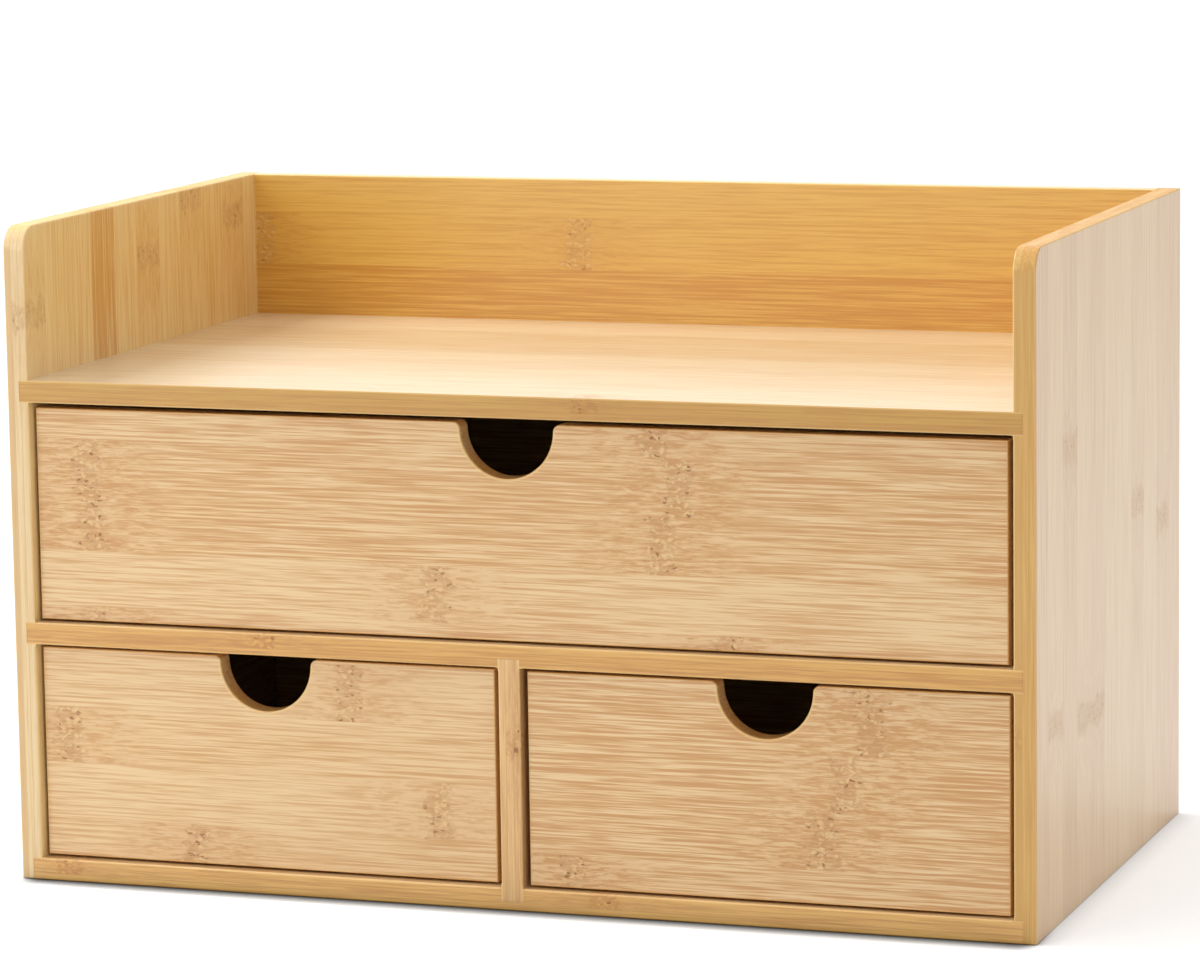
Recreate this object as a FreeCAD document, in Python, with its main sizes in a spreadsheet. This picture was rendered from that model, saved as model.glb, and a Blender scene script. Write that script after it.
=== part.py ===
import FreeCAD, Part
import Sketcher

import os
import re

# Desktop case of bamboo boards: an open tray over one wide drawer and two half-width drawers.
# X runs to the right, Y to the back and Z up, from the middle of the footprint.

doc = FreeCAD.newDocument("DesktopDrawers")
sheet = doc.addObject("Spreadsheet::Sheet", "Sizes")

driving_sizes = [
    ("width", 330, "case, across the outer faces of the sides"),
    ("depth", 190, "case, front edges to back"),
    ("board", 7, "every board of the case but the back"),
    ("back_board", 6, "back panel"),
    ("lower_bay", 68.5, "clear height of the two lower bays"),
    ("upper_bay", 69.5, "clear height of the upper bay"),
    ("tray_wall", 48, "sides above the tray shelf"),
    ("housing", 3, "depth that a shelf end goes into a side"),
    ("shoulder", 0.1, "the tray shelf is thinned by this at its housed ends"),
    ("post_head", 2.8, "depth that the divider goes into the middle shelf"),
    ("post_foot", 4.2, "depth that the divider goes into the bottom board"),
    ("corner_round", 7.5, "top front corner of a side"),
    ("ease", 0.5, "softened outer edges of the case"),
    ("edge_round", 0.7, "rounded edge that a router runs round each bay"),
    ("bay_corner", 1.5, "corner that the router leaves in that edge"),
    ("recess", 3.3, "drawer fronts behind the front edges of the case"),
    ("right_forward", 0.8, "the right drawer stands this much further out"),
    ("side_gap", 1.6, "drawer to bay, at each side of a centred drawer"),
    ("lean", 0.7, "the upper and left drawers stand this far left of centre"),
    ("front_lift", 0.7, "lower edge of a drawer front above its shelf"),
    ("upper_gap", 1.9, "over the upper drawer front"),
    ("lower_gap", 1.2, "over the lower drawer fronts"),
    ("run_gap", 0.3, "drawer box to the shelf and to the back panel"),
    ("front_board", 7, "drawer front"),
    ("box_board", 5.5, "drawer sides and back"),
    ("box_drop", 3, "drawer sides below the top of the front"),
    ("lip", 3.5, "front left standing over the ends of the drawer sides"),
    ("back_lap", 2.5, "drawer back into the drawer sides"),
    ("panel", 3, "thickness of a drawer bottom"),
    ("groove", 2.5, "depth of the groove that holds a drawer bottom"),
    ("panel_play", 0.3, "drawer bottom short of the end of its groove"),
    ("panel_rise", 3, "drawer bottom above the lower edge of the drawer sides"),
    ("notch_radius", 15, "finger notch"),
    ("notch_sink", 2, "centre of the notch below the top of the front"),
    ("notch_shoulder", 2.2, "rounding where the notch meets the top edge"),
    ("notch_ease", 0.5, "softened edge round the face of a drawer front"),
    ("box_ease", 0.6, "softened top edges of the drawer boxes"),
    ("overrun", 1, "cuts run this far past the wood"),
]

worked_out_sizes = [
    ("bay_width", "width - 2 * board"),
    ("half_bay", "(bay_width - board) / 2"),
    ("middle_top", "lower_bay + 2 * board"),
    ("tray_top", "middle_top + upper_bay + board"),
    ("height", "tray_top + tray_wall"),
    ("shelf_length", "bay_width + 2 * housing"),
    ("shelf_depth", "depth - back_board"),
    ("box_length", "shelf_depth - recess - run_gap"),
    ("box_under", "front_lift - run_gap"),
    ("panel_under", "panel_rise - box_under"),
    ("upper_front", "bay_width - 2 * side_gap"),
    ("lower_front", "half_bay - 2 * side_gap"),
    ("upper_face", "upper_bay - front_lift - upper_gap"),
    ("lower_face", "lower_bay - front_lift - lower_gap"),
]

for row, (alias, number, note) in enumerate(driving_sizes, 1):
    sheet.set(f"A{row}", note)
    sheet.set(f"B{row}", str(number))
    sheet.setAlias(f"B{row}", alias)
for row, (alias, formula) in enumerate(worked_out_sizes, len(driving_sizes) + 1):
    sheet.set(f"B{row}", "=" + formula)
    sheet.setAlias(f"B{row}", alias)
doc.recompute()

nodes = []
closeness = 1e-4


def value(expression):
    """Work out a sum of named sizes."""
    return float(sheet.evalExpression(str(expression)))


def bind(item, path, expression):
    """Tie a property of an object to a sum of named sizes."""
    item.setExpression(path, re.sub(r"[a-z_]+", lambda word: "Sizes." + word.group(), str(expression)))


def put(item, across, back, up):
    """Set the place of an object in the case."""
    for axis, expression in zip("xyz", (across, back, up)):
        bind(item, "Placement.Base." + axis, expression)


def new_body(label):
    """Start a piece that is made from sketches."""
    body = doc.addObject("PartDesign::Body", label)
    body.Label = label
    return body


def sketch_on(body, role, along=0):
    """Lay a sketch on one of the body's own planes, moved along the plane's normal."""
    sketch = body.newObject("Sketcher::SketchObject", body.Label + "_sketch")
    plane = next(item for item in body.Origin.OriginFeatures if item.Role == role)
    sketch.AttachmentSupport = [(plane, "")]
    sketch.MapMode = "FlatFace"
    bind(sketch, "AttachmentOffset.Base.z", along)
    return sketch


def fix(sketch, kind, line, point, expression):
    """Hold a point of the sketch at a distance from the origin."""
    held = Sketcher.Constraint(kind, -1, 1, line, point, value(expression))
    bind(sketch, f"Constraints[{sketch.addConstraint(held)}]", expression)


def rectangle(sketch, left, low, right, high):
    """Draw a rectangle between two upright and two level lines."""
    first = sketch.GeometryCount
    corners = [(left, low), (right, low), (right, high), (left, high)]
    points = [FreeCAD.Vector(value(across), value(up)) for across, up in corners]
    for side in range(4):
        sketch.addGeometry(Part.LineSegment(points[side], points[(side + 1) % 4]), False)
    for side in range(4):
        following = first + (side + 1) % 4
        sketch.addConstraint(Sketcher.Constraint("Coincident", first + side, 2, following, 1))
        sketch.addConstraint(Sketcher.Constraint("Vertical" if side % 2 else "Horizontal", first + side))
    for start, across, up in ((first, left, low), (first + 2, right, high)):
        fix(sketch, "DistanceX", start, 1, across)
        fix(sketch, "DistanceY", start, 1, up)


def pad(body, sketch, thick, backward=False):
    """Raise the sketch into wood."""
    feature = body.newObject("PartDesign::Pad", body.Label + "_pad")
    feature.Profile = sketch
    feature.Reversed = backward
    bind(feature, "Length", thick)
    doc.recompute()


def pocket(body, sketch, deep, backward=False):
    """Cut the sketch out of the wood, and see that it cut something."""
    before = body.Tip.Shape.Volume
    feature = body.newObject("PartDesign::Pocket", body.Label + "_pocket")
    feature.Profile = sketch
    feature.Reversed = backward
    bind(feature, "Length", deep)
    doc.recompute()
    if feature.Shape.Volume > before - closeness:
        raise RuntimeError(feature.Name + " cuts nothing")


def same(first, second):
    """Two places are one."""
    return abs(first - second) < closeness


def round_edges(body, radius, chosen):
    """Round every edge whose bounds pass the test."""
    base = body.Tip
    names = [f"Edge{number}" for number, edge in enumerate(base.Shape.Edges, 1) if chosen(edge.BoundBox)]
    feature = body.newObject("PartDesign::Fillet", body.Label + "_fillet")
    feature.Base = (base, names)
    bind(feature, "Radius", radius)
    doc.recompute()


def plank(label, long, deep, thick):
    """A level board with its corner at its own origin."""
    body = new_body(label)
    outline = sketch_on(body, "XY_Plane")
    rectangle(outline, 0, 0, long, deep)
    pad(body, outline, thick)
    return body


# Router passes: each is a plug that fills a bay at the front, under a plate that lies on the
# front edges, with the corner between them filled by a round. What it cuts off a board is the
# rounded edge that runs unbroken round the bay and turns its corners on a small radius.


def router_pass(label, left, floor, wide, tall):
    """The round that a router leaves round one bay."""
    margin = "(edge_round + overrun)"
    body = new_body(label)
    plate = sketch_on(body, "XZ_Plane")
    rectangle(plate, 0, 0, f"{wide} + 2 * {margin}", f"{tall} + 2 * {margin}")
    pad(body, plate, "overrun")
    plug = sketch_on(body, "XZ_Plane")
    rectangle(plug, margin, margin, f"{wide} + {margin}", f"{tall} + {margin}")
    pad(body, plug, "edge_round + overrun", backward=True)
    deep = value("edge_round + overrun")
    round_edges(body, "bay_corner", lambda box: same(box.YMin, 0) and same(box.YMax, deep))
    inside = value("edge_round")
    round_edges(body, "edge_round", lambda box: same(box.YMax, 0) and same(box.YMin, 0) and (
        box.XMin > inside and box.ZMin > inside and box.XMax < value(f"{wide} + {margin} + overrun")
        and box.ZMax < value(f"{tall} + {margin} + overrun")))
    put(body, f"{left} - {margin}", "-depth / 2", f"{floor} - {margin}")
    return body


upper_pass = router_pass("upper_pass", "-bay_width / 2", "middle_top", "bay_width", "upper_bay")
left_pass = router_pass("left_pass", "-bay_width / 2", "board", "half_bay", "lower_bay")
right_pass = router_pass("right_pass", "board / 2", "board", "half_bay", "lower_bay")
tray_pass = router_pass("tray_pass", "-bay_width / 2", "tray_top", "bay_width", "tray_wall")


def routed(label, blank, passes):
    """A board of the case after the router has gone round the bays beside it."""
    blank.Label = label + "_blank"
    tool = doc.addObject("Part::MultiFuse", label + "_passes")
    tool.Shapes = passes
    board = doc.addObject("Part::Cut", label)
    board.Base = blank
    board.Tool = tool
    board.Label = label
    nodes.append(board)


# Sides: upright boards, each with a rounded top front corner. Two housings and a rabbet at the
# foot take the ends of the shelves, and stop at the back panel.

for hand, label in ((-1, "side_left"), (1, "side_right")):
    side = new_body(label)
    outline = sketch_on(side, "YZ_Plane")
    rectangle(outline, 0, 0, "depth", "height")
    pad(side, outline, "board")
    inner_face = "board" if hand < 0 else 0
    outer_face = value("board") - value(inner_face)
    round_edges(side, "corner_round", lambda box: same(box.YMax, 0) and same(box.ZMin, value("height")))

    housings = sketch_on(side, "YZ_Plane", inner_face)
    rectangle(housings, "-overrun", "-overrun", "shelf_depth", "board")
    rectangle(housings, "-overrun", "middle_top - board", "shelf_depth", "middle_top")
    rectangle(housings, "-overrun", "tray_top - board", "shelf_depth", "tray_top - shoulder")
    pocket(side, housings, "housing", backward=hand > 0)

    round_edges(side, "ease", lambda box: (
        same(box.XMin, outer_face) and same(box.XMax, outer_face)
        or same(box.XMin, value(inner_face)) and same(box.XMax, value(inner_face))
        and box.ZMin > value("tray_top") - closeness
        and (same(box.YMin, 0) or same(box.ZMax, value("height"))) and box.ZMax > value("tray_top + ease")
        or same(box.YMax, 0) and same(box.ZMax, 0)))
    put(side, "-width / 2" if hand < 0 else "width / 2 - board", "-depth / 2", 0)
    routed(label, side, [upper_pass, left_pass if hand < 0 else right_pass])

# Shelves: three level boards of one size. The tray shelf has a shallow shoulder at each end, so
# that its floor covers the housings. The other two are grooved for the divider.

tray_shelf = plank("tray_shelf", "shelf_length", "shelf_depth", "board")
shoulders = sketch_on(tray_shelf, "XY_Plane", "board + overrun")
for start, end in (("-overrun", "housing"), ("shelf_length - housing", "shelf_length + overrun")):
    rectangle(shoulders, start, "-overrun", end, "shelf_depth + overrun")
pocket(tray_shelf, shoulders, "shoulder + overrun")
put(tray_shelf, "-shelf_length / 2", "-depth / 2", "tray_top - board")
routed("tray_shelf", tray_shelf, [tray_pass, upper_pass])

middle_shelf = plank("middle_shelf", "shelf_length", "shelf_depth", "board")
head_groove = sketch_on(middle_shelf, "XZ_Plane", "overrun")
rectangle(head_groove, "(shelf_length - board) / 2", "-overrun", "(shelf_length + board) / 2", "post_head")
pocket(middle_shelf, head_groove, "shelf_depth + 2 * overrun")
put(middle_shelf, "-shelf_length / 2", "-depth / 2", "middle_top - board")
routed("middle_shelf", middle_shelf, [upper_pass, left_pass, right_pass])

bottom_board = plank("bottom_board", "shelf_length", "shelf_depth", "board")
foot_groove = sketch_on(bottom_board, "XZ_Plane", "overrun")
groove_left = "(shelf_length - board) / 2"
rectangle(foot_groove, groove_left, "board - post_foot", groove_left + " + board", "board + overrun")
pocket(bottom_board, foot_groove, "shelf_depth + 2 * overrun")
round_edges(bottom_board, "ease", lambda box: same(box.YMax, 0) and same(box.ZMax, 0))
put(bottom_board, "-shelf_length / 2", "-depth / 2", 0)
routed("bottom_board", bottom_board, [left_pass, right_pass])

# Divider: an upright board between the lower drawers, let into both shelves.

divider = plank("divider", "board", "shelf_depth", "post_foot + lower_bay + post_head")
put(divider, "-board / 2", "-depth / 2", "board - post_foot")
routed("divider", divider, [left_pass, right_pass])

# Back panel: between the sides, over the back edges of the shelves, flush with the sides.

back_panel = plank("back_panel", "bay_width", "back_board", "height")
round_edges(back_panel, "ease", lambda box: same(box.ZMin, value("height")) and box.XLength > value("board"))
put(back_panel, "-bay_width / 2", "depth / 2 - back_board", 0)
nodes.append(back_panel)

# Drawers: each is a thick front with a half-round finger notch, over the ends of two thinner
# sides. The back laps into the sides, and a thin bottom is held in a groove all round.


def drawer_front(label, wide, tall):
    """Board with the finger notch, rebated behind for the sides and grooved for the bottom."""
    body = new_body(label)
    outline = sketch_on(body, "XZ_Plane")
    rectangle(outline, 0, 0, wide, tall)
    pad(body, outline, "front_board", backward=True)

    notch = sketch_on(body, "XZ_Plane", "overrun")
    centre = FreeCAD.Vector(value(wide) / 2, value(tall) - value("notch_sink"))
    upright = FreeCAD.Vector(0, 0, 1)
    circle = notch.addGeometry(Part.Circle(centre, upright, value("notch_radius")), False)
    fix(notch, "DistanceX", circle, 3, f"{wide} / 2")
    fix(notch, "DistanceY", circle, 3, f"{tall} - notch_sink")
    radius = Sketcher.Constraint("Radius", circle, value("notch_radius"))
    bind(notch, f"Constraints[{notch.addConstraint(radius)}]", "notch_radius")
    pocket(body, notch, "front_board + 2 * overrun")
    round_edges(body, "notch_shoulder", lambda box: same(box.ZMin, value(tall)) and (
        box.XLength < closeness < box.XMin and box.XMax < value(wide) - closeness))

    rebates = sketch_on(body, "XY_Plane", "-overrun")
    rectangle(rebates, "-overrun", "lip", "box_board", "front_board + overrun")
    rectangle(rebates, f"{wide} - box_board", "lip", f"{wide} + overrun", "front_board + overrun")
    pocket(body, rebates, f"{tall} - box_drop + overrun", backward=True)

    slot = sketch_on(body, "XZ_Plane", "-front_board")
    rectangle(slot, "box_board - overrun", "panel_under", f"{wide} - box_board + overrun", "panel_under + panel")
    pocket(body, slot, "groove", backward=True)
    round_edges(body, "notch_ease", lambda box: same(box.YMin, 0) and same(box.YMax, 0))
    return body


def drawer_side(label, tall, hand):
    """Side with a groove for the bottom and a lap at the rear for the back."""
    body = new_body(label)
    outline = sketch_on(body, "YZ_Plane")
    rectangle(outline, 0, 0, "box_length - lip", tall)
    pad(body, outline, "box_board")

    inner_face = "box_board" if hand < 0 else 0
    slot = sketch_on(body, "YZ_Plane", inner_face)
    rectangle(slot, "-overrun", "panel_rise", "box_length - lip + overrun", "panel_rise + panel")
    pocket(body, slot, "groove", backward=hand > 0)
    lap = sketch_on(body, "YZ_Plane", inner_face)
    rectangle(lap, "box_length - lip - box_board", "-overrun", "box_length - lip + overrun", f"{tall} + overrun")
    pocket(body, lap, "back_lap", backward=hand > 0)
    round_edges(body, "box_ease", lambda box: same(box.ZMin, value(tall)) and box.YLength > value("box_length / 2"))
    return body


def drawer_back(label, wide, tall):
    """Back with its ends in the laps of the sides."""
    long = f"{wide} - 2 * box_board + 2 * back_lap"
    body = plank(label, long, "box_board", tall)
    slot = sketch_on(body, "XZ_Plane")
    rectangle(slot, "-overrun", "panel_rise", f"{long} + overrun", "panel_rise + panel")
    pocket(body, slot, "groove")
    round_edges(body, "box_ease", lambda box: same(box.ZMin, value(tall)) and box.XLength > value("box_length / 2"))
    return body


drawers = [
    ("upper_drawer", "upper_front", "upper_face", "-bay_width / 2 + side_gap - lean", "middle_top", "recess"),
    ("left_drawer", "lower_front", "lower_face", "-bay_width / 2 + side_gap - lean", "board", "recess"),
    ("right_drawer", "lower_front", "lower_face", "board / 2 + side_gap", "board", "recess - right_forward"),
]

for name, wide, tall, left, shelf, behind in drawers:
    face = f"-depth / 2 + {behind}"
    underside = f"{shelf} + run_gap"
    box_tall = f"({tall} - box_drop + box_under)"
    bottom_wide = f"{wide} - 2 * (box_board - groove + panel_play)"
    bottom_long = "box_length - front_board - box_board + 2 * (groove - panel_play)"

    front = drawer_front(name + "_front", wide, tall)
    put(front, left, face, f"{shelf} + front_lift")
    side_left = drawer_side(name + "_side_left", box_tall, -1)
    put(side_left, left, f"{face} + lip", underside)
    side_right = drawer_side(name + "_side_right", box_tall, 1)
    put(side_right, f"{left} + {wide} - box_board", f"{face} + lip", underside)
    back = drawer_back(name + "_back", wide, box_tall)
    put(back, f"{left} + box_board - back_lap", f"{face} + box_length - box_board", underside)
    bottom = plank(name + "_bottom", bottom_wide, bottom_long, "panel")
    bottom_left = f"{left} + box_board - groove + panel_play"
    put(bottom, bottom_left, f"{face} + front_board - groove + panel_play", f"{underside} + panel_rise")
    nodes += [front, side_left, side_right, back, bottom]

# Each piece is checked before its file is written.

doc.recompute()
for item in doc.Objects:
    if "Invalid" in item.State or "Error" in item.State:
        raise RuntimeError(f"{item.Label} did not build: {item.State}")
for node in nodes:
    if node.Shape.isNull() or not node.Shape.isValid() or len(node.Shape.Solids) != 1:
        raise RuntimeError(f"{node.Label} is not one sound solid")

os.makedirs("parts", exist_ok=True)
for node in nodes:
    node.Shape.exportStep(os.path.join("parts", node.Label + ".step"))
    print(f"{node.Label}: {node.Shape.Volume:.1f} mm3, {len(node.Shape.Faces)} faces")
print(f"{len(nodes)} pieces")
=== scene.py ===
import math

import bmesh
import bpy
from mathutils import Matrix, Vector


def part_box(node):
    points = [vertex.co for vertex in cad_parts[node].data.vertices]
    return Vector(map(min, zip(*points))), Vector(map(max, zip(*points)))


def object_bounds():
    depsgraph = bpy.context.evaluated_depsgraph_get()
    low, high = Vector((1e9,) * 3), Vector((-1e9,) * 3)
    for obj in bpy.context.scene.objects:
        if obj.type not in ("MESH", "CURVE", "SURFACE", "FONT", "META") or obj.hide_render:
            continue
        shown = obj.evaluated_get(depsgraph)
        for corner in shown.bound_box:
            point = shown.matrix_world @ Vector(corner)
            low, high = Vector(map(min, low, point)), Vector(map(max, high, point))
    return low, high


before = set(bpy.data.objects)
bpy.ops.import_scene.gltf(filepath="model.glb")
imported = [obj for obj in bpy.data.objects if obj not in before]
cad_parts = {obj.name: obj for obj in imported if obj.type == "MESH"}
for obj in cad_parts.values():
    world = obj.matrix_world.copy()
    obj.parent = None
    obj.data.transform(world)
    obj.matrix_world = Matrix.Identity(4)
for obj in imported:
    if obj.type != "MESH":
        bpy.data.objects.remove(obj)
cad_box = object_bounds()

# The two sides are full-height boards, glued up from upright bamboo strips and cut to one width.
# Each is sanded, its edges are eased with a router, and it gets a clear satin lacquer.


def paint(red, green, blue):
    """A colour as a paint chart gives it, 0 to 255, for a shader."""
    levels = []
    for level in (red, green, blue):
        share = level / 255
        levels.append(share / 12.92 if share <= 0.04045 else ((share + 0.055) / 1.055) ** 2.4)
    return (*levels, 1)


def paints(**colours):
    """The named colours of a board."""
    return {name: paint(*colour) for name, colour in colours.items()}


def node(tree, kind, values, **settings):
    """Add a node. A value is a number, a colour or another node's output."""
    made = tree.nodes.new(kind)
    for name, setting in settings.items():
        setattr(made, name, setting)
    for place, value in values.items():
        if isinstance(value, bpy.types.NodeSocket):
            tree.links.new(value, made.inputs[place])
        else:
            made.inputs[place].default_value = value
    return made


def calc(tree, operation, *terms):
    """One step of arithmetic."""
    return node(tree, "ShaderNodeMath", dict(enumerate(terms)), operation=operation).outputs[0]


def same(tree, first, second):
    """1 where two strips have the same number, and 0 elsewhere."""
    nearness = 0.25
    return calc(tree, "COMPARE", first, second, nearness)


def fade(tree, value, start, end):
    """Rise smoothly from 0 at start to 1 at end."""
    values = {0: value, 1: start, 2: end}
    return node(tree, "ShaderNodeMapRange", values, interpolation_type="SMOOTHSTEP").outputs[0]


def stain(tree, mask, first, second, strength=1):
    """Go from the first colour to the second where the mask is 1, as far as the strength says."""
    if strength != 1:
        mask = calc(tree, "MULTIPLY", mask, strength)
    return node(tree, "ShaderNodeMix", {0: mask, 6: first, 7: second}, data_type="RGBA").outputs[2]


def cells(tree, vector, counts, detail, roughness, curl=0):
    """Cloudy noise with so many cells to the metre along, across and through the board."""
    wide = node(tree, "ShaderNodeVectorMath", {0: vector, 1: counts}, operation="MULTIPLY").outputs[0]
    values = {"Vector": wide, "Scale": 1, "Detail": detail, "Roughness": roughness, "Distortion": curl}
    return node(tree, "ShaderNodeTexNoise", values).outputs[0]


def effect(name, takes, gives):
    """Open a shader group, and give back its tree, what goes in and what comes out."""
    tree = bpy.data.node_groups.new(name, "ShaderNodeTree")
    for way, sockets in (("INPUT", takes), ("OUTPUT", gives)):
        for label, kind in sockets.items():
            tree.interface.new_socket(label, in_out=way, socket_type="NodeSocket" + kind)
    return tree, tree.nodes.new("NodeGroupInput").outputs, tree.nodes.new("NodeGroupOutput").inputs


def hand_over(tree, give, **values):
    """Lead the values to the outputs of a shader group."""
    for label, value in values.items():
        tree.links.new(value, give[label])


lane_step = 17.3


def strip_effect():
    """Which strip of the glued board a point lies in, how that strip is toned, and the glue lines."""
    takes = {"Vector": "Vector", "Strip": "Float", "First Joint": "Float", "Face": "Float",
             "Layer": "Float", "Layers": "Float", "Seed": "Float"}
    gives = {"Row": "Float", "Lane": "Float", "Tone": "Float", "Joint": "Float"}
    tree, take, give = effect("glued strips", takes, gives)
    layer_shift = 0.41
    draw_step = 1.37
    line_outside = 0.00022
    line_inside = 0.00004
    across, through = node(tree, "ShaderNodeSeparateXYZ", {0: take["Vector"]}).outputs[1:3]
    depth = calc(tree, "DIVIDE", calc(tree, "SUBTRACT", through, take["Face"]), take["Layer"])
    last = calc(tree, "SUBTRACT", take["Layers"], 1)
    layer = calc(tree, "MINIMUM", calc(tree, "MAXIMUM", calc(tree, "FLOOR", depth), 0), last)
    place = calc(tree, "DIVIDE", calc(tree, "SUBTRACT", across, take["First Joint"]), take["Strip"])
    place = calc(tree, "MULTIPLY_ADD", layer, layer_shift, place)
    row = calc(tree, "FLOOR", place)
    lane = calc(tree, "MULTIPLY_ADD", layer, lane_step, row)
    draw = calc(tree, "ADD", calc(tree, "MULTIPLY", lane, draw_step), take["Seed"])
    tone = node(tree, "ShaderNodeTexWhiteNoise", {"W": draw}, noise_dimensions="1D").outputs["Value"]
    strip_line = calc(tree, "ROUND", place)
    layer_line = calc(tree, "MINIMUM", calc(tree, "MAXIMUM", calc(tree, "ROUND", depth), 1), last)
    lines = []
    for point, line, size in ((place, strip_line, "Strip"), (depth, layer_line, "Layer")):
        away = calc(tree, "MULTIPLY", calc(tree, "SUBTRACT", point, line), take[size])
        lines.append(fade(tree, calc(tree, "ABSOLUTE", away), start=line_outside, end=line_inside))
    joint = calc(tree, "MAXIMUM", *lines)
    hand_over(tree, give, Row=row, Lane=lane, Tone=tone, Joint=joint)
    return tree


def fibre_effect():
    """The fibres of the strips: long brown streaks, shorter where they flare at a knuckle."""
    takes = {"Vector": "Vector", "Lane": "Float", "Flare": "Float"}
    gives = {"Streak": "Float", "Hair": "Float", "Drift": "Float"}
    tree, take, give = effect("bamboo fibres", takes, gives)
    lane_shift = 0.731
    shift = calc(tree, "MULTIPLY", take["Lane"], lane_shift)
    shift = node(tree, "ShaderNodeCombineXYZ", {0: shift}).outputs[0]
    grain = node(tree, "ShaderNodeVectorMath", {0: take["Vector"], 1: shift}).outputs[0]
    long = cells(tree, grain, counts=(24, 1200, 1200), detail=3, roughness=0.6)
    short = cells(tree, grain, counts=(160, 1150, 1150), detail=3, roughness=0.65, curl=0.4)
    streak = calc(tree, "MULTIPLY_ADD", calc(tree, "SUBTRACT", short, long), take["Flare"], long)
    hair = cells(tree, grain, counts=(60, 2100, 2100), detail=1, roughness=0.6)
    drift = cells(tree, grain, counts=(6, 70, 70), detail=2, roughness=0.5)
    hand_over(tree, give, Streak=streak, Hair=hair, Drift=drift)
    return tree


def knuckle_effect():
    """A knuckle, where the stem had a cross wall: a rough band over one strip, with flared fibres."""
    takes = {"Along": "Float", "Ragged": "Float", "Row": "Float", "On Row": "Float", "Place": "Float",
             "Half Width": "Float"}
    gives = {"Core": "Float", "Flare": "Float"}
    tree, take, give = effect("knuckle", takes, gives)
    raggedness = 2.4
    away = calc(tree, "DIVIDE", calc(tree, "SUBTRACT", take["Along"], take["Place"]), take["Half Width"])
    away = calc(tree, "ABSOLUTE", calc(tree, "MULTIPLY_ADD", take["Ragged"], raggedness, away))
    here = same(tree, take["Row"], take["On Row"])
    core = calc(tree, "MULTIPLY", here, fade(tree, away, start=1.15, end=0.8))
    flare = calc(tree, "MULTIPLY", here, fade(tree, away, start=8, end=1.2))
    hand_over(tree, give, Core=core, Flare=flare)
    return tree


def fleck_effect():
    """What a knuckle is made of, close up: pale curled fibre ends, dark pores and a ragged outline."""
    gives = {"Curl": "Float", "Pore": "Float", "Tuft": "Float", "Ragged": "Float"}
    tree, take, give = effect("knuckle flecks", {"Vector": "Vector"}, gives)
    middle = 0.5
    bends_per_metre = 420
    bend = (0.003, 0.003, 0.003)
    spots_per_metre = (430, 900, 900)
    ragged = cells(tree, take["Vector"], counts=(90, 420, 420), detail=2, roughness=0.6)
    ragged = calc(tree, "SUBTRACT", ragged, middle)
    values = {"Vector": take["Vector"], "Scale": bends_per_metre, "Detail": 1}
    bends = node(tree, "ShaderNodeTexNoise", values).outputs["Color"]
    values = {0: bends, 1: bend, 2: take["Vector"]}
    bent = node(tree, "ShaderNodeVectorMath", values, operation="MULTIPLY_ADD").outputs[0]
    values = {0: bent, 1: spots_per_metre}
    wide = node(tree, "ShaderNodeVectorMath", values, operation="MULTIPLY").outputs[0]
    spots = node(tree, "ShaderNodeTexVoronoi", {"Vector": wide, "Scale": 1}).outputs
    draw = node(tree, "ShaderNodeSeparateXYZ", {0: spots["Color"]}).outputs[0]
    near_spot = fade(tree, spots["Distance"], start=0.65, end=0.3)
    curl = calc(tree, "MULTIPLY", near_spot, fade(tree, draw, start=0.5, end=0.65))
    in_spot = fade(tree, spots["Distance"], start=0.45, end=0.2)
    pore = calc(tree, "MULTIPLY", in_spot, fade(tree, draw, start=0.3, end=0.2))
    tuft = cells(tree, take["Vector"], counts=(300, 650, 650), detail=3, roughness=0.6, curl=1.2)
    tuft = fade(tree, tuft, start=0.4, end=0.62)
    hand_over(tree, give, Curl=curl, Pore=pore, Tuft=tuft, Ragged=ragged)
    return tree


def arris_effect():
    """The eased edges of a board: where a point is near two of its faces at once."""
    takes = {"Vector": "Vector", "Low": "Vector", "High": "Vector", "Reach": "Float"}
    tree, take, give = effect("eased edges", takes, {"Arris": "Float"})
    gaps = []
    for first, second in (("Vector", "Low"), ("High", "Vector")):
        gap = node(tree, "ShaderNodeVectorMath", {0: take[first], 1: take[second]}, operation="SUBTRACT")
        gaps.append(gap.outputs[0])
    near = node(tree, "ShaderNodeVectorMath", {0: gaps[0], 1: gaps[1]}, operation="MINIMUM").outputs[0]
    x, y, z = node(tree, "ShaderNodeSeparateXYZ", {0: near}).outputs
    inner = calc(tree, "MINIMUM", calc(tree, "MAXIMUM", x, y), z)
    second_nearest = calc(tree, "MAXIMUM", calc(tree, "MINIMUM", x, y), inner)
    share = calc(tree, "DIVIDE", second_nearest, take["Reach"])
    hand_over(tree, give, Arris=fade(tree, share, start=1.2, end=0.5))
    return tree


def face_effect():
    """Which way a face of the board looks: an edge along the grain, or an end across it."""
    tree, take, give = effect("edge and end", {"Normal": "Vector"}, {"Edge": "Float", "End": "Float"})
    along, across = node(tree, "ShaderNodeSeparateXYZ", {0: take["Normal"]}).outputs[0:2]
    edge = fade(tree, calc(tree, "ABSOLUTE", across), start=0.35, end=0.8)
    end = fade(tree, calc(tree, "ABSOLUTE", along), start=0.35, end=0.8)
    hand_over(tree, give, Edge=edge, End=end)
    return tree


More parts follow.
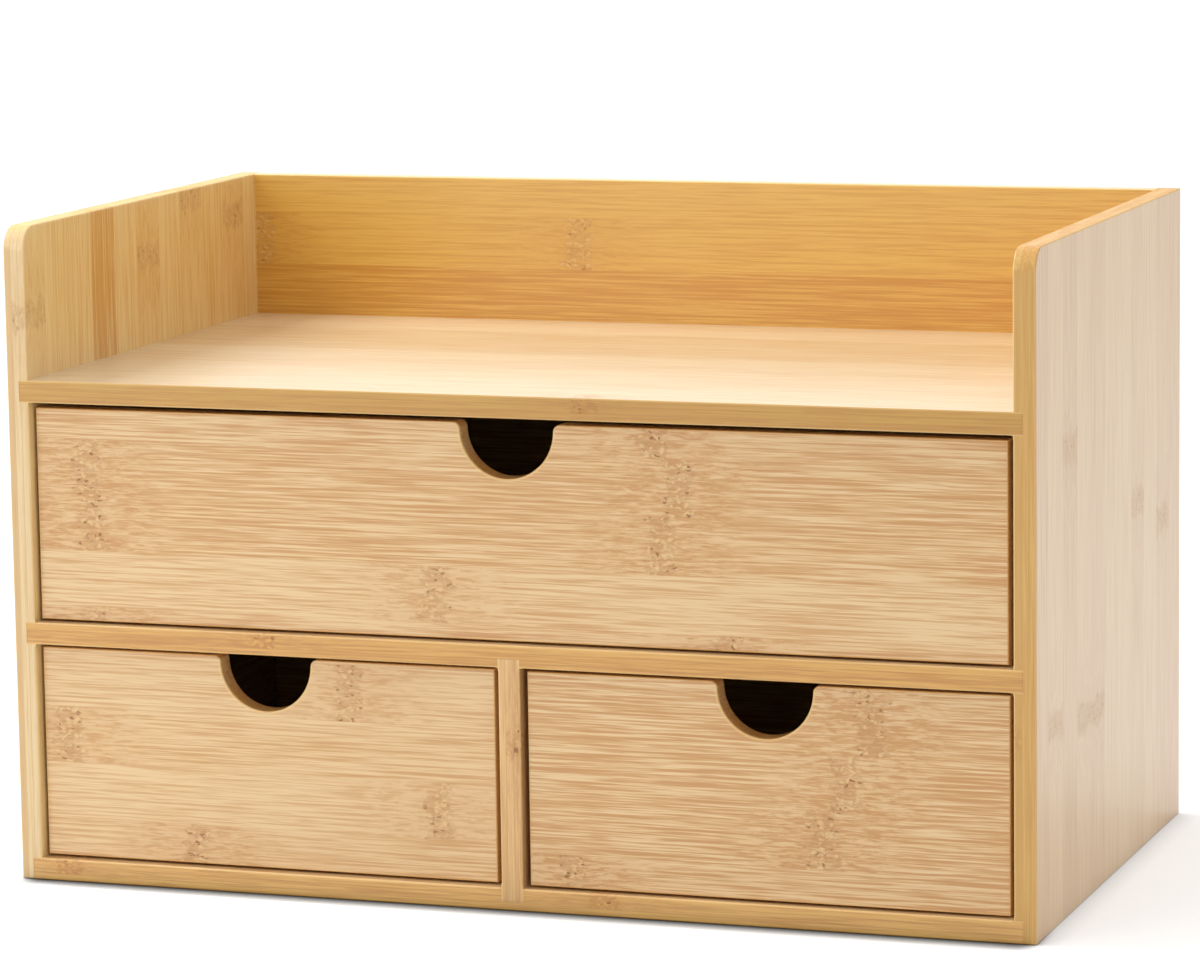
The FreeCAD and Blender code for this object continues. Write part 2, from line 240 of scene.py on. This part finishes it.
def board_effect():
    """Put the strips, fibres and knuckles together into a colour, a roughness and a relief."""
    colours = dict.fromkeys(("Pale", "Body", "Brown", "Edge Tint"), "Color")
    masks = ("Edge", "End", "Contrast", "Boldness", "Tone", "Joint", "Streak", "Hair", "Drift",
             "Core", "Flare", "Curl", "Pore", "Tuft", "Arris")
    gives = {"Colour": "Color", "Roughness": "Float", "Coat": "Float", "Height": "Float"}
    tree, take, give = effect("bamboo board", colours | dict.fromkeys(masks, "Float"), gives)

    # Each strip has its own tone, and slow clouds of wood drift along it, paler where there is more
    # light and browner where there is less than none.
    middle = 0.5
    cloudiness = 0.6
    paleness = 0.3
    browning = -0.75
    tone = calc(tree, "MULTIPLY", calc(tree, "SUBTRACT", take["Tone"], middle), take["Contrast"])
    cloud = calc(tree, "MULTIPLY", calc(tree, "SUBTRACT", take["Drift"], middle), cloudiness)
    light = calc(tree, "ADD", tone, cloud)
    colour = stain(tree, calc(tree, "ADD", light, paleness), take["Body"], take["Pale"])
    colour = stain(tree, light, colour, take["Brown"], strength=browning)

    # Brown streaks, pale streaks and fine brown hairs run along it. All are weaker on pale strips,
    # and the brown streaks are weaker on the edges of a board.
    bold_on_pale = -0.7
    brown_on_edge = -0.35
    brown_on_face = 0.85
    bold = calc(tree, "MULTIPLY", calc(tree, "MULTIPLY_ADD", tone, bold_on_pale, 1), take["Boldness"])
    brown = fade(tree, take["Streak"], start=0.47, end=0.63)
    depth = calc(tree, "MULTIPLY_ADD", take["Edge"], brown_on_edge, brown_on_face)
    depth = calc(tree, "MULTIPLY", depth, bold)
    colour = stain(tree, brown, colour, take["Brown"], strength=depth)
    fair = calc(tree, "MULTIPLY", fade(tree, take["Streak"], start=0.53, end=0.36), bold)
    colour = stain(tree, fair, colour, take["Pale"], strength=0.6)
    hair = calc(tree, "MULTIPLY", fade(tree, take["Hair"], start=0.5, end=0.66), bold)
    colour = stain(tree, hair, colour, take["Brown"], strength=0.5)

    # Glue lines, end grain and the flared fibres by a knuckle are a little darker.
    line_on_edge = 0.2
    line_on_face = 0.3
    line = calc(tree, "MULTIPLY_ADD", take["Edge"], line_on_edge, line_on_face)
    colour = stain(tree, take["Joint"], colour, take["Brown"], strength=line)
    colour = stain(tree, take["End"], colour, take["Brown"], strength=0.35)
    colour = stain(tree, take["Flare"], colour, take["Brown"], strength=0.25)

    # A knuckle is brown tufts with pale curls and dark pores. A pale highlight is painted along the
    # eased edges.
    tuft_brown = paint(192, 138, 76)
    curl_pale = paint(240, 204, 142)
    pore_dark = paint(126, 68, 24)
    painted_edge_highlight = paint(248, 210, 142)
    tuft_more = 0.5
    tuft_least = 0.2
    core = calc(tree, "MULTIPLY", take["Core"], calc(tree, "MINIMUM", take["Boldness"], 1))
    tuft = calc(tree, "MULTIPLY", core, calc(tree, "MULTIPLY_ADD", take["Tuft"], tuft_more, tuft_least))
    curl = calc(tree, "MULTIPLY", core, take["Curl"])
    pore = calc(tree, "MULTIPLY", core, take["Pore"])
    colour = stain(tree, tuft, colour, tuft_brown)
    colour = stain(tree, curl, colour, curl_pale, strength=0.55)
    values = {0: take["Edge"], 6: colour, 7: take["Edge Tint"]}
    colour = node(tree, "ShaderNodeMix", values, data_type="RGBA", blend_type="MULTIPLY").outputs[2]
    colour = stain(tree, pore, colour, pore_dark, strength=0.65)
    # Painted highlight: the eased edges are mixed towards a pale colour.
    colour = stain(tree, take["Arris"], colour, painted_edge_highlight, strength=0.5)

    # The lacquer is rougher on knuckles, brown streaks and end grain, and thinner on eased edges,
    # end grain and pores.
    satin = 0.36
    rough_core = 0.12
    rough_brown = 0.05
    rough_end = 0.3
    rough = calc(tree, "MULTIPLY_ADD", take["Core"], rough_core, satin)
    rough = calc(tree, "MULTIPLY_ADD", brown, rough_brown, rough)
    rough = calc(tree, "MULTIPLY_ADD", take["End"], rough_end, rough)
    coat_on_arris = -0.7
    coat_on_end = -0.8
    coat_on_pore = -0.9
    coat = calc(tree, "MULTIPLY_ADD", take["Arris"], coat_on_arris, 1)
    coat = calc(tree, "MULTIPLY_ADD", take["End"], coat_on_end, coat)
    coat = calc(tree, "MULTIPLY_ADD", pore, coat_on_pore, coat)

    # Curls stand out a little, and streaks and pores lie deep.
    streak_height = -0.5
    pore_height = -0.8
    height = calc(tree, "MULTIPLY_ADD", take["Streak"], streak_height, curl)
    height = calc(tree, "MULTIPLY_ADD", pore, pore_height, height)
    hand_over(tree, give, Colour=colour, Roughness=rough, Coat=coat, Height=height)
    return tree


glued_strips = strip_effect()
bamboo_fibres = fibre_effect()
knuckle_band = knuckle_effect()
knuckle_flecks = fleck_effect()
eased_edges = arris_effect()
board_faces = face_effect()
bamboo_board = board_effect()

strip_width = 0.0177
knuckle_half_width = 0.0045
easing = 0.0005
relief_strength = 0.35
relief_depth = 0.0003
out_of_reach = 1


def lacquer(board, axes, colours, layers, first_joint, seed, from_high=False, contrast=0.8, boldness=1,
            tones=(), knuckles=(), gloss=0.3, coat=1, rim=None, housed=False, reverse=None):
    """Lay lacquered bamboo on a board. Axes name its grain, its row of strips and its thickness.
    Its face is on the low side of the thickness, or on the high side where from_high says so."""
    material = bpy.data.materials.new("bamboo_" + board)
    material.use_nodes = True
    tree = material.node_tree
    tree.nodes.clear()
    low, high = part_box(board)
    grain, rows, thickness = ("XYZ".index(axis) for axis in axes)
    face, back = low[thickness], high[thickness]
    if from_high:
        face, back = back, face
    source = node(tree, "ShaderNodeTexCoord", {}).outputs
    turned = []
    for field in (source["Object"], source["Normal"]):
        parts = node(tree, "ShaderNodeSeparateXYZ", {0: field}).outputs
        order = {0: parts[grain], 1: parts[rows], 2: parts[thickness]}
        turned.append(node(tree, "ShaderNodeCombineXYZ", order).outputs[0])
    vector, normal = turned
    along = node(tree, "ShaderNodeSeparateXYZ", {0: vector}).outputs[0]

    # The strips, some with a tone of their own that shows on the real board.
    values = {"Vector": vector, "Strip": strip_width, "First Joint": first_joint, "Face": face,
              "Layer": (back - face) / layers, "Layers": layers, "Seed": seed}
    strips = node(tree, "ShaderNodeGroup", values, node_tree=glued_strips).outputs
    tone = strips["Tone"]
    for lane, level in tones:
        here = same(tree, strips["Lane"], lane)
        tone = calc(tree, "MULTIPLY_ADD", here, calc(tree, "SUBTRACT", level, tone), tone)

    # The knuckles, each on one strip, and the fibres that flare there.
    flecks = node(tree, "ShaderNodeGroup", {"Vector": vector}, node_tree=knuckle_flecks).outputs
    core, flare = 0, 0
    for row, place in knuckles:
        values = {"Along": along, "Ragged": flecks["Ragged"], "Row": strips["Row"], "On Row": row,
                  "Place": place, "Half Width": knuckle_half_width}
        band = node(tree, "ShaderNodeGroup", values, node_tree=knuckle_band).outputs
        core = calc(tree, "MAXIMUM", core, band["Core"])
        flare = calc(tree, "MAXIMUM", flare, band["Flare"])
    values = {"Vector": vector, "Lane": strips["Lane"], "Flare": flare}
    fibres = node(tree, "ShaderNodeGroup", values, node_tree=bamboo_fibres).outputs

    # The painted highlight follows the eased edges, but is left off at the foot and where an end goes
    # into a groove of another board, and a dark glue line runs there.
    joint = strips["Joint"]
    if housed:
        to_low = calc(tree, "SUBTRACT", along, low[grain])
        to_end = calc(tree, "MINIMUM", to_low, calc(tree, "SUBTRACT", high[grain], along))
        joint = calc(tree, "MAXIMUM", joint, fade(tree, to_end, start=0.0005, end=0.0002))
        low[grain] -= out_of_reach
        high[grain] += out_of_reach
    if low.z < cad_box[0][2] + easing:
        low.z -= out_of_reach
    values = {"Vector": source["Object"], "Low": low, "High": high, "Reach": easing}
    arris = node(tree, "ShaderNodeGroup", values, node_tree=eased_edges).outputs[0]
    # The notch rim adds to the painted edge highlight.
    if rim:
        ring = node(tree, "ShaderNodeGroup", rim | {"Vector": source["Object"]}, node_tree=notch_highlight_ring)
        arris = calc(tree, "MAXIMUM", arris, ring.outputs[0])

    # The reverse of some boards, the side away from the face, has colours of its own. On the back panel
    # the face carries painted shade and warm bounce light, and the reverse has the plain bamboo colours.
    if reverse:
        through = node(tree, "ShaderNodeSeparateXYZ", {0: normal}).outputs[2]
        through = calc(tree, "MULTIPLY", through, math.copysign(1, back - face))
        behind = fade(tree, through, start=0.1, end=0.5)
        colours = colours | {name: stain(tree, behind, colours[name], reverse[name]) for name in reverse}

    faces = node(tree, "ShaderNodeGroup", {"Normal": normal}, node_tree=board_faces).outputs
    values = {"Pale": colours["pale"], "Body": colours["body"], "Brown": colours["brown"],
              "Edge Tint": colours["edge"], "Edge": faces["Edge"], "End": faces["End"],
              "Contrast": contrast, "Boldness": boldness, "Tone": tone, "Joint": joint,
              "Streak": fibres["Streak"], "Hair": fibres["Hair"], "Drift": fibres["Drift"],
              "Core": core, "Flare": flare, "Curl": flecks["Curl"], "Pore": flecks["Pore"],
              "Tuft": flecks["Tuft"], "Arris": arris}
    wood = node(tree, "ShaderNodeGroup", values, node_tree=bamboo_board).outputs
    values = {"Height": wood["Height"], "Strength": relief_strength, "Distance": relief_depth}
    relief = node(tree, "ShaderNodeBump", values).outputs[0]
    values = {"Base Color": wood["Colour"], "Roughness": wood["Roughness"], "Normal": relief,
              "Coat Weight": calc(tree, "MULTIPLY", wood["Coat"], coat), "Coat Roughness": gloss}
    shader = node(tree, "ShaderNodeBsdfPrincipled", values).outputs[0]
    node(tree, "ShaderNodeOutputMaterial", {0: shader})
    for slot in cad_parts[board].material_slots:
        slot.material = material


reverse_colours = paints(pale=(240, 208, 152), body=(230, 192, 132), brown=(206, 158, 94))
sides = {
    "side_left": {
        # The face of side_left toward the tray is painted lighter than its reverse: painted light where
        # the tray gets little.
        "colours": paints(pale=(250, 224, 164), body=(247, 212, 139), brown=(218, 164, 82),
                          edge=(236, 232, 238)),
        "tones": enumerate((0.9, 0.6, 0.6, -0.8, 0.6, 0.5, 0.6, 0.5, 0.4), start=-6),
        "knuckles": [(-6, 0.1788), (-1, 0.1885), (1, 0.2044), (3, 0.195), (-4, 0.06), (-2, 0.11),
                     (2, 0.08), (4, 0.13)],
        "boldness": 0.6,
        "seed": 3.1,
    },
    "side_right": {
        "colours": paints(pale=(241, 203, 138), body=(229, 182, 110), brown=(208, 152, 80),
                          edge=(244, 241, 206)),
        "tones": enumerate((0, 0.5, 0.1, 0.5, 0.3, 0.6, 0.7, 0.4, 0.6, 0.3, 0.1), start=-6),
        "knuckles": [(-5, 0.062), (-3, 0.0577), (-2, 0.0569), (3, 0.1025), (1, 0.1133), (-4, 0.1426)],
        "boldness": 0.5,
        "coat": 0.75,
        "seed": 4.1,
    },
}
for board, looks in sides.items():
    lacquer(board, "ZYX", layers=3, first_joint=0.008, from_high=True, contrast=1,
            reverse=reverse_colours, **looks)

# The tray shelf is a level board of glued bamboo strips and the floor of the open tray. Its ends are
# let into grooves in both sides and glued, and its front edge shows the layers of the board.

tray_colours = paints(pale=(232, 210, 171), body=(223, 194, 149), brown=(202, 159, 102),
                      edge=(224, 190, 99))
lacquer("tray_shelf", "XYZ", tray_colours, layers=3, first_joint=0.002, seed=11.4, from_high=True,
        knuckles=[(-6, 0.0253)], boldness=0.7, gloss=0.5, housed=True)

# The middle shelf and the bottom board are cut from the same bamboo sheet as the tray shelf. The
# middle one is housed in the sides, the bottom one in a step at their feet, and both are glued.

shelf_colours = paints(pale=(236, 206, 158), body=(224, 186, 132), brown=(196, 148, 88))
lacquer("middle_shelf", "XYZ", shelf_colours | paints(edge=(244, 216, 139)), layers=3,
        first_joint=0.002, seed=21.7, from_high=True, knuckles=[(-6, -0.081)], housed=True)
lacquer("bottom_board", "XYZ", shelf_colours | paints(edge=(255, 231, 165)), layers=3,
        first_joint=0.002, seed=22.7, from_high=True, knuckles=[(-6, -0.1485), (-6, 0.03)], housed=True)

# The divider is a short upright bamboo board between the two lower drawers. Its ends are let into
# the middle shelf and the bottom board and glued, so that its front edge lies over theirs.

divider_colours = paints(pale=(236, 202, 152), body=(226, 186, 130), brown=(200, 150, 92),
                         edge=(252, 241, 213))
front_row = -6
front_tones = [(front_row + lane_step * layer, tone) for layer, tone in enumerate((-0.1, 0.8, 0))]
lacquer("divider", "ZYX", divider_colours, layers=3, first_joint=0.002, seed=31.2, from_high=True,
        tones=front_tones, knuckles=[(front_row, 0.0521)], housed=True)

# The back panel is a bamboo board that fills the space between the sides, with its strips lying
# across. It is glued to the shelves, and its top edge is level with the tops of the sides.

# The face toward the tray is painted darker and more orange than the reverse: painted shade and warm
# bounce light from the tray over the bamboo colour.
back_wood_and_shade_colours = paints(pale=(233, 187, 84), body=(225, 172, 64), brown=(206, 142, 40),
                      edge=(255, 255, 255))
back_knuckles = [(9, -0.1555), (9, -0.0402), (7, 0.11), (6, -0.06), (4, 0.03), (3, -0.12),
                 (1, 0.13), (0, -0.02)]
lacquer("back_panel", "XZY", back_wood_and_shade_colours, layers=2, first_joint=0.017, seed=41.9, boldness=0.65,
        tones=[(8, -0.45), (9, 0.7)], knuckles=back_knuckles, reverse=reverse_colours)

# The drawer fronts are lacquered bamboo boards with the strips lying across. A half-round finger
# notch is milled in the top edge of each, and notch and outline are eased with a router. The drawer
# sides are glued into steps in the back of the front.


def notch_effect():
    """The eased front edge of a finger notch, where a pale highlight is painted."""
    takes = {"Vector": "Vector", "Centre": "Vector", "Radius": "Float"}
    tree, take, give = effect("notch edge", takes, {"Arris": "Float"})
    values = {0: take["Vector"], 1: take["Centre"]}
    arm = node(tree, "ShaderNodeVectorMath", values, operation="SUBTRACT").outputs[0]
    depth = node(tree, "ShaderNodeSeparateXYZ", {0: arm}).outputs[1]
    flat = node(tree, "ShaderNodeVectorMath", {0: arm, 1: (1, 0, 1)}, operation="MULTIPLY").outputs[0]
    reach = node(tree, "ShaderNodeVectorMath", {0: flat}, operation="LENGTH").outputs["Value"]
    away = calc(tree, "ABSOLUTE", calc(tree, "SUBTRACT", reach, take["Radius"]))
    ring = fade(tree, away, start=0.0006, end=0.0003)
    shallow = fade(tree, depth, start=0.0010, end=0.0006)
    hand_over(tree, give, Arris=calc(tree, "MULTIPLY", ring, shallow))
    return tree


notch_highlight_ring = notch_effect()
notch_sink = 0.002
notch_rim_radius = 0.0153

front_colours = paints(pale=(236, 203, 150), body=(225, 183, 123), brown=(203, 146, 78),
                       edge=(250, 228, 194))
fronts = {
    "upper_drawer_front": {
        "first_joint": 0.017,
        "boldness": 1.2,
        "tones": [(7, 0.5), (6, 0.2), (5, 0.35), (4, 0.95), (3, 0.7)],
        "knuckles": [(6, -0.1407), (5, -0.1388), (3, -0.1387), (4, -0.0246), (7, 0.0468), (6, 0.0542),
                     (5, 0.0483), (3, 0.0682)],
        "seed": 51.3,
    },
    "left_drawer_front": {
        "first_joint": 0.0024,
        "boldness": 1.05,
        "tones": [(3, 0.9), (2, 0.7), (1, 1), (0, 0.7)],
        "knuckles": [(2, -0.149), (0, -0.106), (3, -0.0534), (1, -0.0244)],
        "seed": 52.3,
    },
    "right_drawer_front": {
        "first_joint": 0.0003,
        "boldness": 1.45,
        "tones": [(3, 0.3), (2, 0.5), (1, 0.3), (0, 0.6)],
        "knuckles": [(4, 0.1108), (3, 0.1138), (2, 0.1056), (1, 0.0983), (0, 0.0193)],
        "seed": 53.3,
    },
}
for board, looks in fronts.items():
    low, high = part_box(board)
    notch_centre = ((low.x + high.x) / 2, low.y, high.z - notch_sink)
    rim = {"Centre": notch_centre, "Radius": notch_rim_radius}
    lacquer(board, "XZY", front_colours, layers=2, rim=rim, **looks)

# The sides and backs of the drawers are thinner bamboo boards in two layers. They are grooved near
# the foot for the bottom, glued together at the corners, and slide straight on the wood of the case.

box_colours = paints(pale=(234, 208, 156), body=(222, 188, 128), brown=(198, 152, 90),
                     edge=(250, 240, 226))
drawers = ("upper_drawer", "left_drawer", "right_drawer")
first_joint_rise = 0.004
knuckle_rows = 4
row_share = 0.618
drawer_share = 0.37
part_share = 0.2
part_seed = 0.1
for number, drawer in enumerate(drawers):
    for part, axes in (("_side_left", "YZX"), ("_side_right", "YZX"), ("_back", "XZY")):
        board = drawer + part
        low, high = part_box(board)
        grain = "XYZ".index(axes[0])
        knuckles = []
        for row in range(knuckle_rows):
            share = (row_share * row + drawer_share * number + part_share * len(part)) % 1
            knuckles.append((row, low[grain] + (high[grain] - low[grain]) * share))
        lacquer(board, axes, box_colours, layers=2, first_joint=low.z + first_joint_rise,
                seed=61.5 + number + part_seed * len(part), knuckles=knuckles)

# The drawer bottoms are thin bamboo plywood in three layers, pale and plainer than the boards. They
# lie loose in the grooves of the drawer sides, front and back.

bottom_colours = paints(pale=(232, 206, 156), body=(220, 188, 134), brown=(200, 158, 102),
                        edge=(246, 234, 214))
for number, drawer in enumerate(drawers):
    lacquer(drawer + "_bottom", "XYZ", bottom_colours, layers=3, first_joint=0.006, seed=71.8 + number,
            from_high=True, contrast=0.3)

# The case stands on a large matt white table that runs on behind it as a plain background. The table
# keeps the soft shade of the case.
# Near the case a painted contact shadow darkens its colour and glow, strongest in the narrow line under
# its front.


def seen_by_eye(tree):
    """1 where the eye meets a surface, straight, in a gloss or through glass, and 0 elsewhere."""
    rays = node(tree, "ShaderNodeLightPath", {}).outputs
    seen = calc(tree, "MAXIMUM", rays["Is Camera Ray"], rays["Is Glossy Ray"])
    return calc(tree, "MAXIMUM", seen, rays["Is Transmission Ray"])


table_half_size = 8
table_middle = (0, 4, 0)
shape = bmesh.new()
bmesh.ops.create_grid(shape, x_segments=1, y_segments=1, size=table_half_size,
                      matrix=Matrix.Translation(table_middle))
table = bpy.data.meshes.new("floor")
shape.to_mesh(table)
shape.free()
floor = bpy.data.objects.new("floor", table)
bpy.context.scene.collection.objects.link(floor)

table_white = (0.79, 0.805, 0.825)
table_glow = 0.39
contact_reach = 0.009
contact_weak = 0.4
contact_strong = 4
front = cad_box[0][1]
outside = cad_box[1][0]
shade_starts = front + 0.025
shade_full = front - 0.001
shade_fades = front - 0.015
shade_ends = front - 0.035
corner_full = outside - 0.007
corner_ends = outside + 0.003
floor_white = bpy.data.materials.new("floor_white")
floor_white.use_nodes = True
tree = floor_white.node_tree
tree.nodes.clear()
# Painted shade: ambient occlusion near the case darkens the table's colour and glow, raised to a high
# power in a band under the front.
open_sky = node(tree, "ShaderNodeAmbientOcclusion", {"Distance": contact_reach}, samples=8).outputs["AO"]
spot = node(tree, "ShaderNodeTexCoord", {}).outputs["Object"]
x, y = node(tree, "ShaderNodeSeparateXYZ", {0: spot}).outputs[0:2]
rising = fade(tree, y, start=shade_starts, end=shade_full)
falling = fade(tree, y, start=shade_ends, end=shade_fades)
between_sides = fade(tree, calc(tree, "ABSOLUTE", x), start=corner_ends, end=corner_full)
painted_shadow_band = calc(tree, "MULTIPLY", calc(tree, "MULTIPLY", rising, falling), between_sides)
power = calc(tree, "MULTIPLY_ADD", painted_shadow_band, contact_strong - contact_weak, contact_weak)
painted_contact_shade = calc(tree, "POWER", open_sky, power)
levels = {channel: calc(tree, "MULTIPLY", painted_contact_shade, level) for channel, level in enumerate(table_white)}
white = node(tree, "ShaderNodeCombineColor", levels).outputs[0]
matt = node(tree, "ShaderNodeBsdfDiffuse", {"Color": white}).outputs[0]
glow = calc(tree, "MULTIPLY", calc(tree, "MULTIPLY", seen_by_eye(tree), painted_contact_shade), table_glow)
glow = node(tree, "ShaderNodeEmission", {"Strength": glow}).outputs[0]
both = node(tree, "ShaderNodeAddShader", {0: matt, 1: glow}).outputs[0]
node(tree, "ShaderNodeOutputMaterial", {0: both})
table.materials.append(floor_white)

# The surround is a white tent with a wide soft lamp over the case. A second one stands to the left
# in front, so that the fronts are a little brighter on the left. A third one hangs high on the left
# and shades the tray along the left side, and a weak one behind gives the tray its sheen.

tent_white = 1
tent_light = 0.54
world = bpy.data.worlds.new("studio")
bpy.context.scene.world = world
world.use_nodes = True
tree = world.node_tree
tree.nodes.clear()
level = calc(tree, "MULTIPLY_ADD", seen_by_eye(tree), tent_white - tent_light, tent_light)
surround = node(tree, "ShaderNodeBackground", {"Color": (1, 1, 1, 1), "Strength": level}).outputs[0]
node(tree, "ShaderNodeOutputWorld", {0: surround})


def hang_lamp(name, kind, place, aim_height=0, **settings):
    """Hang a soft lamp that looks at a point over the middle of the foot of the case."""
    lamp = bpy.data.lights.new(name, kind)
    for setting, value in settings.items():
        setattr(lamp, setting, value)
    hung = bpy.data.objects.new(name, lamp)
    turn = (Vector(place) - Vector((0, 0, aim_height))).to_track_quat("Z", "Y").to_matrix().to_4x4()
    hung.matrix_world = Matrix.Translation(place) @ turn
    bpy.context.scene.collection.objects.link(hung)


hang_lamp("overhead", "SUN", place=(-0.05, -0.10, 0.99), energy=0.85, angle=math.radians(60))
hang_lamp("softbox", "AREA", place=(-0.55, -0.85, 0.42), aim_height=0.1, energy=1.7, size=0.6)
hang_lamp("sidelight", "AREA", place=(-1, 0, 1.2), aim_height=0.12, energy=14, size=0.7)
hang_lamp("backlight", "AREA", place=(-0.65, 1.45, 0.8), aim_height=0.16, energy=1.6,
          shape="RECTANGLE", size=1, size_y=0.4)

# The camera stands a little to the right of the front and above the tray, with a long lens far off,
# which keeps the upright edges of the case nearly upright.

camera_place = (0.53037, -1.53166, 0.36354)
camera_turn, camera_tilt, camera_roll = (math.radians(angle) for angle in (19.189, 8.565, -0.827))
camera = bpy.data.cameras.new("camera")
camera.sensor_width = 36
camera.lens = 153.714
camera_stand = bpy.data.objects.new("camera", camera)
camera_stand.matrix_world = (
    Matrix.Translation(camera_place) @ Matrix.Rotation(camera_turn, 4, "Z")
    @ Matrix.Rotation(math.pi / 2 - camera_tilt, 4, "X") @ Matrix.Rotation(camera_roll, 4, "Z"))
bpy.context.scene.collection.objects.link(camera_stand)
bpy.context.scene.camera = camera_stand
bpy.context.scene.view_settings.view_transform = "Standard"
